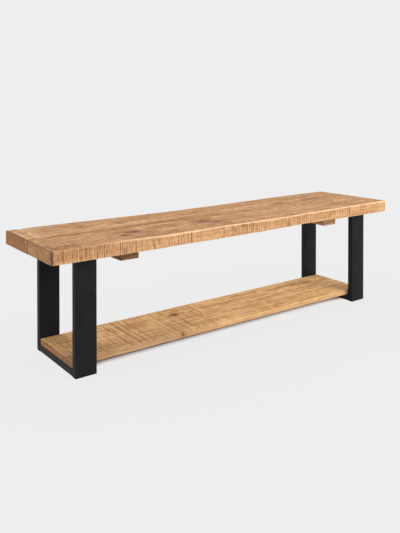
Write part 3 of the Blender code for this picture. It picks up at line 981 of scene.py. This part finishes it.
def shelf_screw_holes(side_name, bar_low, bar_high):
    """The cutters for the holes through the bottom and the top wall of a bottom bar."""
    cutters = []
    for end_name in ENDS:
        low, high = box_of(f"shelf_screw_{side_name}_{end_name}")
        centre = (low + high) / 2
        for name, radius, bottom, top in (
            ("access", ACCESS_RADIUS, bar_low.z - 0.002, bar_low.z + 0.004),
            ("clearance", CLEARANCE_RADIUS, bar_high.z - 0.004, bar_high.z + 0.002),
        ):
            cutters.append(turned_cutter(name, [(centre, radius, bottom), (centre, radius, top)]))
    return cutters


def leg_frame(side_name, material):
    """One closed frame: two uprights, the bottom bar between them and a bead in each inside corner."""
    bar_low, bar_high = box_of("bottom_bar_" + side_name)
    plate_low = box_of("mounting_plate_" + side_name)[0]
    for end_name, end in ENDS.items():
        node = f"upright_{side_name}_{end_name}"
        finish_steel(tube(f"{side_name}_{end_name}_upright", node, 2, material), node)
        low, high = box_of(node)
        inner_y = high.y if end < 0 else low.y
        for place_name, z in (("bar", bar_high.z), ("plate", plate_low.z)):
            start = Vector((low.x + WELD_INSET, inner_y, z))
            stop = Vector((high.x - WELD_INSET, inner_y, z))
            weld_bead(f"{side_name}_{end_name}_{place_name}_weld", start, stop, material)
    bar = tube(f"{side_name}_bottom_bar", "bottom_bar_" + side_name, 1, material)
    cut_out(bar, shelf_screw_holes(side_name, bar_low, bar_high))
    finish_steel(bar, "bottom_bar_" + side_name)


# ---------------------------------------------------------------- CAD pieces that keep their shape
def plain_metal(name, colour, roughness):
    """Plated metal with a fine grain."""
    material, tree, shader = new_material(name)
    grain = object_noise(tree, (900.0, 900.0, 900.0), 3.0, 0.6)
    tone = ramp(tree, grain, [(0.3, scaled(colour, 0.8)), (0.7, colour)])
    tree.links.new(tone, shader.inputs["Base Color"])
    rough = spread(tree, grain, 0.3, 0.7, roughness - 0.06, roughness + 0.08)
    tree.links.new(rough, shader.inputs["Roughness"])
    shader.inputs["Metallic"].default_value = 1.0
    return material


def moulded_plastic():
    """Black plastic with a fine spark-eroded texture."""
    material, tree, shader = new_material("moulded_plastic")
    grain = object_noise(tree, (1100.0, 1100.0, 1100.0), 2.0, 0.5)
    tone = ramp(tree, grain, [(0.3, (0.010, 0.010, 0.011)), (0.7, (0.018, 0.018, 0.019))])
    tree.links.new(tone, shader.inputs["Base Color"])
    tree.links.new(spread(tree, grain, 0.3, 0.7, 0.48, 0.62), shader.inputs["Roughness"])
    bump = add_node(tree, "Bump", Strength=0.3, Distance=0.0001, Height=grain)
    tree.links.new(bump.outputs["Normal"], shader.inputs["Normal"])
    return material


def dowel_wood():
    """Plain turned hardwood with its fibres along Y."""
    material, tree, shader = new_material("dowel_wood")
    fibres = object_noise(tree, (700.0, 40.0, 700.0), 4.0, 0.6)
    tone = ramp(tree, fibres, [(0.3, (0.40, 0.26, 0.13)), (0.7, (0.60, 0.43, 0.25))])
    tree.links.new(tone, shader.inputs["Base Color"])
    tree.links.new(spread(tree, fibres, 0.3, 0.7, 0.55, 0.75), shader.inputs["Roughness"])
    return material


def dress_cad_nodes(steel):
    """Give each CAD node that is shown as it is the material that its name calls for."""
    finishes = {
        "plate_screw": plain_metal("black_zinc", (0.06, 0.06, 0.065), 0.38),
        "shelf_screw": plain_metal("black_zinc_small", (0.06, 0.06, 0.065), 0.38),
        "batten_screw": plain_metal("bright_zinc", (0.66, 0.64, 0.58), 0.30),
        "foot_plug": moulded_plastic(),
        "seam_dowel": dowel_wood(),
        "mounting_plate": steel,
    }
    for node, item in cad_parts.items():
        for start, material in finishes.items():
            if node.startswith(start):
                for slot in item.material_slots:
                    slot.material = material


# ---------------------------------------------------------------- surroundings
FLOOR_REACH = 60.0
LIT_SHARE = 0.08  # of the floor's brightness that comes from the light on it, and so can be shaded
CONTACT_TINT = (0.16, 0.115, 0.095)  # how much of the floor's own glow is left close under the bench
OCCLUSION_REACH = 0.25
COVERED, OPEN = 0.042, 0.095  # how open the floor is where the shade is full, and where it is gone


def open_to_light(tree):
    """From 0 where the floor is all but covered, close under the shelf and the bars, to 1 on open floor."""
    occlusion = add_node(tree, "AmbientOcclusion", {"samples": 32}, Distance=OCCLUSION_REACH)
    return spread(tree, occlusion.outputs["AO"], COVERED, OPEN)


def floor_material():
    """Pale and mostly self-lit, so that it stays as even as the background."""
    material, tree, shader = new_material("pale_floor")
    shader.inputs["Roughness"].default_value = 1.0
    shader.inputs["Specular IOR Level"].default_value = 0.0
    clear = open_to_light(tree)
    base = blend(tree, clear, (0.0, 0.0, 0.0), (LIT_SHARE, LIT_SHARE, LIT_SHARE))
    tree.links.new(base, shader.inputs["Base Color"])
    tree.links.new(blend(tree, clear, CONTACT_TINT, (1.0, 1.0, 1.0)), shader.inputs["Emission Color"])
    shader.inputs["Emission Strength"].default_value = BACKGROUND * (1 - LIT_SHARE)
    return material


def make_surroundings():
    """The pale floor and an even background of the same grey."""
    world = bpy.data.worlds.new("soft_studio")
    bpy.context.scene.world = world
    world.use_nodes = True
    background = world.node_tree.nodes["Background"]
    background.inputs["Color"].default_value = (BACKGROUND, BACKGROUND, BACKGROUND, 1.0)
    bpy.context.scene.view_settings.view_transform = "Standard"

    corners = [(-1, -1), (1, -1), (1, 1), (-1, 1)]
    mesh = bpy.data.meshes.new("floor")
    mesh.from_pydata([(FLOOR_REACH * x, FLOOR_REACH * y, 0) for x, y in corners], [], [(0, 1, 2, 3)])
    floor = bpy.data.objects.new("floor", mesh)
    bpy.context.scene.collection.objects.link(floor)
    mesh.materials.append(floor_material())
    return floor


LAMP_SIZE = (2.4, 1.8)
LAMPS = (  # name, place, what it points at, power
    ("key", (2.2, -3.4, 1.9), (0.1, 0.0, 0.25), 112.0),
    ("rear_fill", (-1.2, 3.2, 1.7), (0.0, 0.0, 0.20), 45.0),
)


def area_light(name, place, target, power):
    data = bpy.data.lights.new(name, "AREA")
    data.shape = "RECTANGLE"
    data.size, data.size_y = LAMP_SIZE
    data.energy = power
    light = bpy.data.objects.new(name, data)
    bpy.context.scene.collection.objects.link(light)
    light.location = place
    light.rotation_euler = (Vector(target) - Vector(place)).to_track_quat("-Z", "Y").to_euler()
    return light


def light_only_the_bench(lights, floor):
    """Keep the lamps off the floor, so that its tone stays even."""
    group = bpy.data.collections.new("lit_by_lamps")
    group.objects.link(floor)
    for light in lights:
        light.light_linking.receiver_collection = group
    group.collection_objects[0].light_linking.link_state = "EXCLUDE"


CAMERA_PLACE = (-1.698, -2.171, 0.957)
CAMERA_TILT = 89.26  # degrees up from looking straight down
CAMERA_TURN = -36.42  # degrees about Z from looking towards +Y
LENS = 44.74
SHIFT = (0.0008, -0.3112)


def make_camera():
    data = bpy.data.cameras.new("camera")
    camera = bpy.data.objects.new("camera", data)
    bpy.context.scene.collection.objects.link(camera)
    camera.location = CAMERA_PLACE
    camera.rotation_euler = (math.radians(CAMERA_TILT), 0.0, math.radians(CAMERA_TURN))
    data.lens = LENS
    data.shift_x, data.shift_y = SHIFT
    bpy.context.scene.camera = camera


make_camera()
floor = make_surroundings()
light_only_the_bench([area_light(*lamp) for lamp in LAMPS], floor)
seat_plank("front_seat_plank", "top_plank_front", -1)
seat_plank("rear_seat_plank", "top_plank_rear", 1)
shelf_plank("shelf_plank", "shelf_board")
for batten_number, batten_side in enumerate(SIDES):
    batten(batten_side, 130 + 20 * batten_number)
steel = coated_steel()
for frame_side in SIDES:
    leg_frame(frame_side, steel)
dress_cad_nodes(steel)
